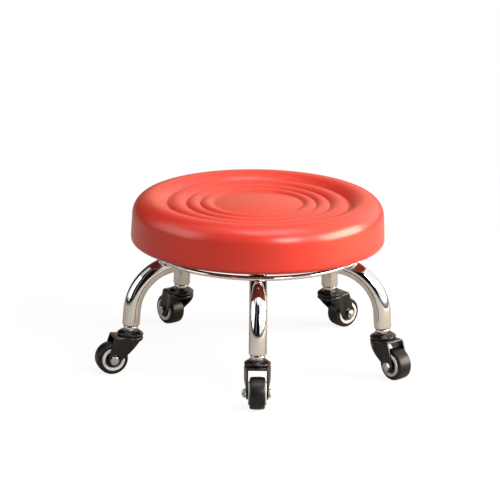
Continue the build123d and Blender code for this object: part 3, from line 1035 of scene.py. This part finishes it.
# %% Plate the fasteners and polish the balls
zinc, tree, shader, place = start_finish("Zinc plate on steel, bright", "#C9CACB", Metallic=1.0)
clouds = noise(tree, place, 3 * MM, 3.0)
gloss = add_node(tree, "ShaderNodeMapRange", {"To Min": 0.2, "To Max": 0.36}, {"Value": clouds})
tree.links.new(gloss.outputs["Result"], shader.inputs["Roughness"])
ball_steel = start_finish(
    "Ball-bearing steel, polished", "#D4D4D6", Metallic=1.0, Roughness=0.06,
)[0]
print(zinc.name, "and", ball_steel.name)

# %% [markdown]
# ## The wheel's plastics
# The tyre is cast polyurethane, black and slightly waxy. The light ring is moulded
# polypropylene and the hub a darker nylon, both with the dull gloss of a cut steel mould.

# %% Mould the plastics
tyre_rubber, tree, shader, place = start_finish(
    "Polyurethane tyre, black, cast", "#0E0D11", Roughness=0.38, Specular_IOR_Level=0.4,
)
cast_skin = noise(tree, place, 0.8 * MM, 2.0)
emboss(tree, shader, cast_skin, 0.12, 0.04 * MM)
light_plastic = start_finish("Polypropylene, light grey, moulded", "#E6E2E0", Roughness=0.35)[0]
hub_plastic = start_finish("Nylon, black, moulded", "#1F1E1F", Roughness=0.42)[0]
print(tyre_rubber.name, light_plastic.name, hub_plastic.name, sep="; ")

# %% [markdown]
# ## Foam, plywood and the dust cloth
# These are seen only from below or when the seat is opened: open-cell foam, plywood with a
# long fine grain, and a thin black spun cloth bonded with small dots.

# %% Foam, plywood and cloth
foam, tree, shader, place = start_finish("Polyurethane foam, cut", "#E9DDB0", Roughness=0.95)
pores = add_node(tree, "ShaderNodeTexVoronoi", {"Scale": 1 / (1.2 * MM)}, {"Vector": place})
emboss(tree, shader, pores.outputs["Distance"], 0.5, 0.3 * MM)

plywood, tree, shader, place = start_finish("Birch plywood, sanded", "#C79C63", Roughness=0.6)
along_grain, across_grain = 1 / (60 * MM), 1 / (3 * MM)
stretched = add_node(
    tree, "ShaderNodeMapping", {"Scale": (along_grain, across_grain, along_grain)},
    {"Vector": place},
)
fibres = noise(tree, stretched.outputs["Vector"], 1.0, 4.0)
grain_colours = add_node(tree, "ShaderNodeValToRGB", None, {"Fac": fibres})
grain_colours.color_ramp.elements[0].color = linear("#A67B47")
grain_colours.color_ramp.elements[1].color = linear("#D9B27A")
tree.links.new(grain_colours.outputs["Color"], shader.inputs["Base Color"])

dust_cloth, tree, shader, place = start_finish(
    "Spun-bonded cloth, black", "#161616", Roughness=0.9,
)
dots = add_node(
    tree, "ShaderNodeTexVoronoi", {"Scale": 1 / (1.4 * MM), "Randomness": 0.1},
    {"Vector": place},
)
emboss(tree, shader, dots.outputs["Distance"], 0.5, 0.1 * MM)
print(foam.name, plywood.name, dust_cloth.name, sep="; ")

# %% [markdown]
# ## Hand out the finishes
# The record names a material slot for every CAD node, and each new piece was given one too.

# %% Give every piece its finish
finishes = {
    "chromed_tube": chrome, "black_painted_steel": black_paint, "zinc_plated_steel": zinc,
    "polished_steel": ball_steel, "black_tyre": tyre_rubber, "light_grey_plastic": light_plastic,
    "black_plastic": hub_plastic, "red_leathercloth": leathercloth, "seat_foam": foam,
    "plywood": plywood, "black_cloth": dust_cloth,
}
node_slots = {part["node"]: part["material_slot"] for part in frame["record"]["subparts"]}
for name, node in nodes.items():
    for material_slot in node.material_slots:
        material_slot.link = "OBJECT"
        material_slot.material = finishes[node_slots[name]]
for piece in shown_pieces():
    if "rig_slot" in piece:
        piece.data.materials.clear()
        piece.data.materials.append(finishes[piece["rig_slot"]])

# %% [markdown]
# ## The studio
# The photograph was lit by a large soft lamp low on the right, by weaker ones in front, on
# the left and above, and by the white of the room. The camera sees the floor white, with
# the stool's shadow near the stool and pure white further off. Chrome and paint mirror it
# as a warm grey board. For light that bounces off it the board is darker, which keeps the
# underside of the cushion deep. From below the floor is clear.


# %% Blend and whiten
def blend(tree, share, first, second):
    """A Mix Shader of two shader nodes, with the share of the second."""
    sources = {0: share, 1: first.outputs[0], 2: second.outputs[0]}
    return add_node(tree, "ShaderNodeMixShader", None, sources)


def white_light(tree, kind, strength):
    """A plain white emission or background."""
    return add_node(tree, kind, {"Color": (1, 1, 1, 1), "Strength": strength})


def share_of(tree, value, low, high):
    """How far a value has come from low to high, from 0 to 1."""
    limits = {"From Min": low, "From Max": high}
    return add_node(tree, "ShaderNodeMapRange", limits, {"Value": value}).outputs["Result"]


print("studio helpers ready")

# %% Lay the floor
shadow_share = 0.15
just_white = 1.03
shadow_ends, all_white = 0.5, 1.1
floor_height = -0.4
floor_radius = 25
board_colour = linear("#BEB7B0")
bpy.ops.mesh.primitive_circle_add(
    vertices=96, radius=floor_radius, fill_type="NGON", location=(0, 0, floor_height * MM),
)
floor = named("studio_floor")
floor_paint = bpy.data.materials.new("Studio board, pale")
floor_paint.use_nodes = True
tree = floor_paint.node_tree
tree.nodes.clear()
board = add_node(tree, "ShaderNodeBsdfDiffuse", {"Color": board_colour})
bounce = add_node(tree, "ShaderNodeBsdfDiffuse", {"Color": linear("#423F3D")})
shadow_colour = (shadow_share, shadow_share, shadow_share, 1)
shadow_keeper = add_node(tree, "ShaderNodeBsdfDiffuse", {"Color": shadow_colour})
white = white_light(tree, "ShaderNodeEmission", just_white - shadow_share)
summands = {0: shadow_keeper.outputs[0], 1: white.outputs[0]}
near = add_node(tree, "ShaderNodeAddShader", None, summands)
spot = add_node(tree, "ShaderNodeTexCoord").outputs["Object"]
away = add_node(tree, "ShaderNodeVectorMath", None, {0: spot}, operation="LENGTH")
fade = share_of(tree, away.outputs["Value"], shadow_ends, all_white)
far = white_light(tree, "ShaderNodeEmission", 1.0)
path = add_node(tree, "ShaderNodeLightPath")
seen = blend(tree, fade, near, far)
unseen = blend(tree, path.outputs["Is Diffuse Ray"], board, bounce)
both = blend(tree, path.outputs["Is Camera Ray"], unseen, seen)
side = add_node(tree, "ShaderNodeNewGeometry")
clear = add_node(tree, "ShaderNodeBsdfTransparent")
one_sided = blend(tree, side.outputs["Backfacing"], both, clear)
add_node(tree, "ShaderNodeOutputMaterial", None, {"Surface": one_sided.outputs[0]})
floor.data.materials.append(floor_paint)
print("floor laid")

# %% [markdown]
# The world gives the even part of the light, and to the camera it is white. Chrome and
# paint see a room in it instead, because a mirror in an all-white room looks like white
# paint. Its walls go round the stool by azimuth, counted in degrees from the right and
# positive to the back: white at the right, warm at the back, black with white streaks at
# the left and black with one grey streak in front. Below them runs a skirting, black at
# the left and blue-grey at the right. The ceiling is light, and the floor's grey goes on
# beyond the board.

# %% Light the world
room_walls = (
    (-173, "#2C2A29"), (-170, "#F2F2F4"), (-152, "#F2F2F4"), (-149, "#100F0F"),
    (-119, "#100F0F"), (-117, "#8B8D92"), (-113, "#8B8D92"), (-111, "#100F0F"),
    (-72, "#100F0F"), (-68, "#FFFFFF"), (56, "#FFFFFF"), (68, "#F0D0BC"),
    (86, "#DDB49E"), (106, "#86604E"), (124, "#1B1A19"), (154, "#1B1A19"),
    (157, "#E4E4E6"), (174, "#E4E4E6"), (178, "#2C2A29"),
)
behind_left = linear("#2C2A29")
ceiling = linear("#DDDFE4")
skirting = ((0.2, "#1A1918"), (0.6, "#8C93A0"))
floor_line = (-0.004, 0.0)
skirting_line = (0.04, 0.10)
ceiling_line = (0.87, 0.90)
room_strength, even_strength = 1.15, 0.28

world = bpy.data.worlds.new("studio room")
bpy.context.scene.world = world
world.use_nodes = True
tree = world.node_tree
tree.nodes.clear()


def stacked(line, lower, upper):
    """One colour below a height and another above it; each is plain or a socket."""
    share = share_of(tree, heading.outputs["Z"], *line)
    mix = add_node(tree, "ShaderNodeMix", None, {0: share}, data_type="RGBA")
    colour_a, colour_b, mixed = mix.inputs[6], mix.inputs[7], mix.outputs[2]
    for socket, colour in ((colour_a, lower), (colour_b, upper)):
        if isinstance(colour, tuple):
            socket.default_value = colour
        else:
            tree.links.new(colour, socket)
    return mixed


direction = add_node(tree, "ShaderNodeTexCoord").outputs["Generated"]
heading = add_node(tree, "ShaderNodeSeparateXYZ", None, {"Vector": direction})
azimuth = add_node(
    tree, "ShaderNodeMath", None, {0: heading.outputs["Y"], 1: heading.outputs["X"]},
    operation="ARCTAN2",
)
around = share_of(tree, azimuth.outputs[0], -math.pi, math.pi)
walls = add_node(tree, "ShaderNodeValToRGB", None, {"Fac": around})
first, last = walls.color_ramp.elements
first.color = last.color = behind_left
for degrees, colour in room_walls:
    walls.color_ramp.elements.new((degrees + 180) / 360).color = linear(colour)
low = add_node(tree, "ShaderNodeValToRGB", None, {"Fac": heading.outputs["X"]})
for stop, (at, colour) in zip(low.color_ramp.elements, skirting):
    stop.position, stop.color = at, linear(colour)
room = stacked(skirting_line, low.outputs["Color"], walls.outputs["Color"])
room = stacked(ceiling_line, room, ceiling)
room = stacked(floor_line, board_colour, room)
mirrored = add_node(tree, "ShaderNodeBackground", {"Strength": room_strength}, {"Color": room})
even = white_light(tree, "ShaderNodeBackground", even_strength)
backdrop = white_light(tree, "ShaderNodeBackground", 1.0)
path = add_node(tree, "ShaderNodeLightPath")
shiny = add_node(
    tree, "ShaderNodeMath", None,
    {0: path.outputs["Is Glossy Ray"], 1: path.outputs["Is Transmission Ray"]},
    operation="MAXIMUM",
)
unseen = blend(tree, shiny.outputs[0], even, mirrored)
shown = blend(tree, path.outputs["Is Camera Ray"], unseen, backdrop)
add_node(tree, "ShaderNodeOutputWorld", None, {"Surface": shown.outputs[0]})
print("world lit")

# %% [markdown]
# Four soft lamps model the cushion. The strongest stands low at the right and slightly in
# front, so that the rim's front wall falls off to a deep red towards the left. It is a
# little warm, which turns the lit side towards orange.


# %% Hang the soft lamps
lamp_target = Vector((0, 0, 0.15))


def soft_lamp(name, place, width, height, power, colour="#FFFFFF"):
    """A rectangular lamp that looks at the seat."""
    bpy.ops.object.light_add(type="AREA", location=place)
    lamp = bpy.context.object
    lamp.name = lamp.data.name = name
    lamp.data.shape = "RECTANGLE"
    lamp.data.size, lamp.data.size_y = width, height
    lamp.data.energy = power
    lamp.data.color = linear(colour)[:3]
    aim = lamp_target - Vector(place)
    lamp.rotation_euler = aim.to_track_quat("-Z", "Y").to_euler()
    return lamp


lamps = [
    soft_lamp("key_right", (1.70, -0.26, 0.70), width=1.4, height=0.9, power=54, colour="#FFEED4"),
    soft_lamp("overhead", (0.25, -0.35, 1.95), width=1.2, height=0.9, power=10),
    soft_lamp("front_right", (0.75, -1.45, 1.0), width=0.6, height=0.6, power=13),
    soft_lamp("fill_left", (-1.65, -0.5, 0.85), width=1.3, height=1.1, power=7),
]
print(len(lamps), "lamps")

# %% [markdown]
# ## Finish
# The picture settings stay plain.

# %% Keep the picture settings plain
bpy.context.scene.view_settings.view_transform = "Standard"
